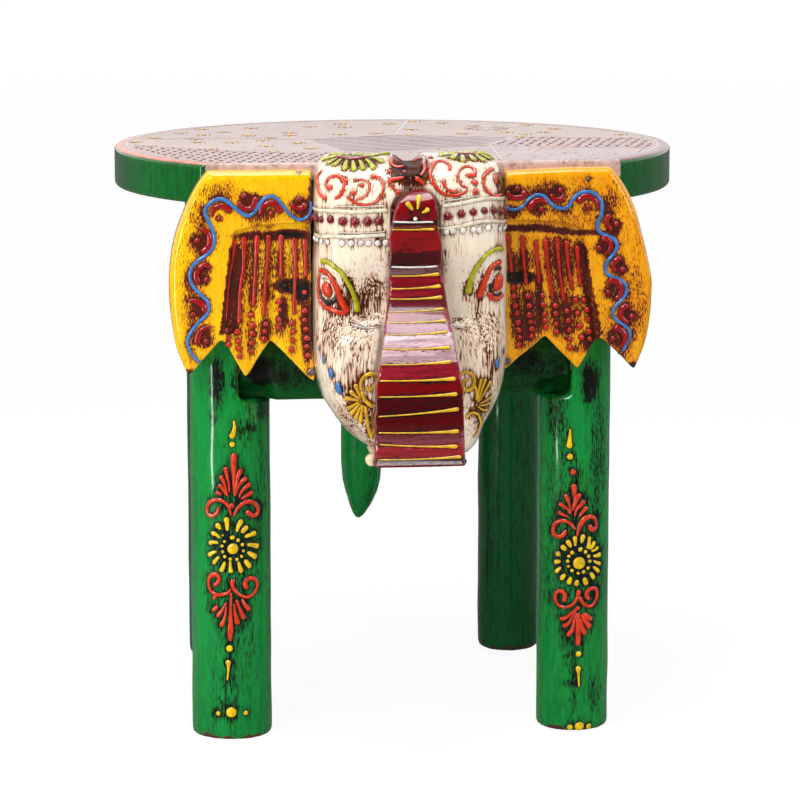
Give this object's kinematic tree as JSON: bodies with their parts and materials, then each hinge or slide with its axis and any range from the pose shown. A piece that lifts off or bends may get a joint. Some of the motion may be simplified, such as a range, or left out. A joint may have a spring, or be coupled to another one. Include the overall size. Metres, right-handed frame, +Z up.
{
  "type": "carved elephant stool",
  "caption": "Low round wooden stool on post legs, with a carved and painted elephant's head, scalloped ears, trunk, tusk tips and tail.",
  "frame": {"origin": "on the floor, under the middle of the stool's box", "axes": "+Z up out of the seat, -Y towards the elephant's face, +X to the right as seen from the front"},
  "size_m": [0.3, 0.356, 0.3075],
  "materials": {
    "seat_paint": "hand-painted patchwork in dull mauve, red, ochre and blue under gloss varnish, green edge",
    "green_paint": "glossy emerald green over black, rubbed and streaked along the grain",
    "ivory_paint": "glossy ivory, scratched and antiqued with dark brown",
    "tusk_paint": "glossy ivory",
    "crimson_paint": "high-gloss deep crimson with raised yellow lines",
    "yellow_paint": "glossy golden yellow, antiqued with brown",
    "bare_wood": "plain sawn hardwood",
    "screw_steel": "dull, darkened"
  },
  "bodies": {
    "root": {"seat_top": "seat_paint", "leg_front_left": "green_paint", "leg_front_right": "green_paint", "leg_rear_left": "green_paint", "leg_rear_right": "green_paint", "apron_front": "green_paint", "apron_rear": "green_paint", "apron_left": "green_paint", "apron_right": "green_paint", "tail": "green_paint", "apron_dowels": "bare_wood", "trunk_pegs": "bare_wood", "head": "ivory_paint", "tusk_left": "tusk_paint", "tusk_right": "tusk_paint", "trunk": "crimson_paint", "ear_left": "yellow_paint", "ear_right": "yellow_paint", "head_screws": "screw_steel", "ear_screws": "screw_steel", "tail_screws": "screw_steel"}
  },
  "joints": []
}
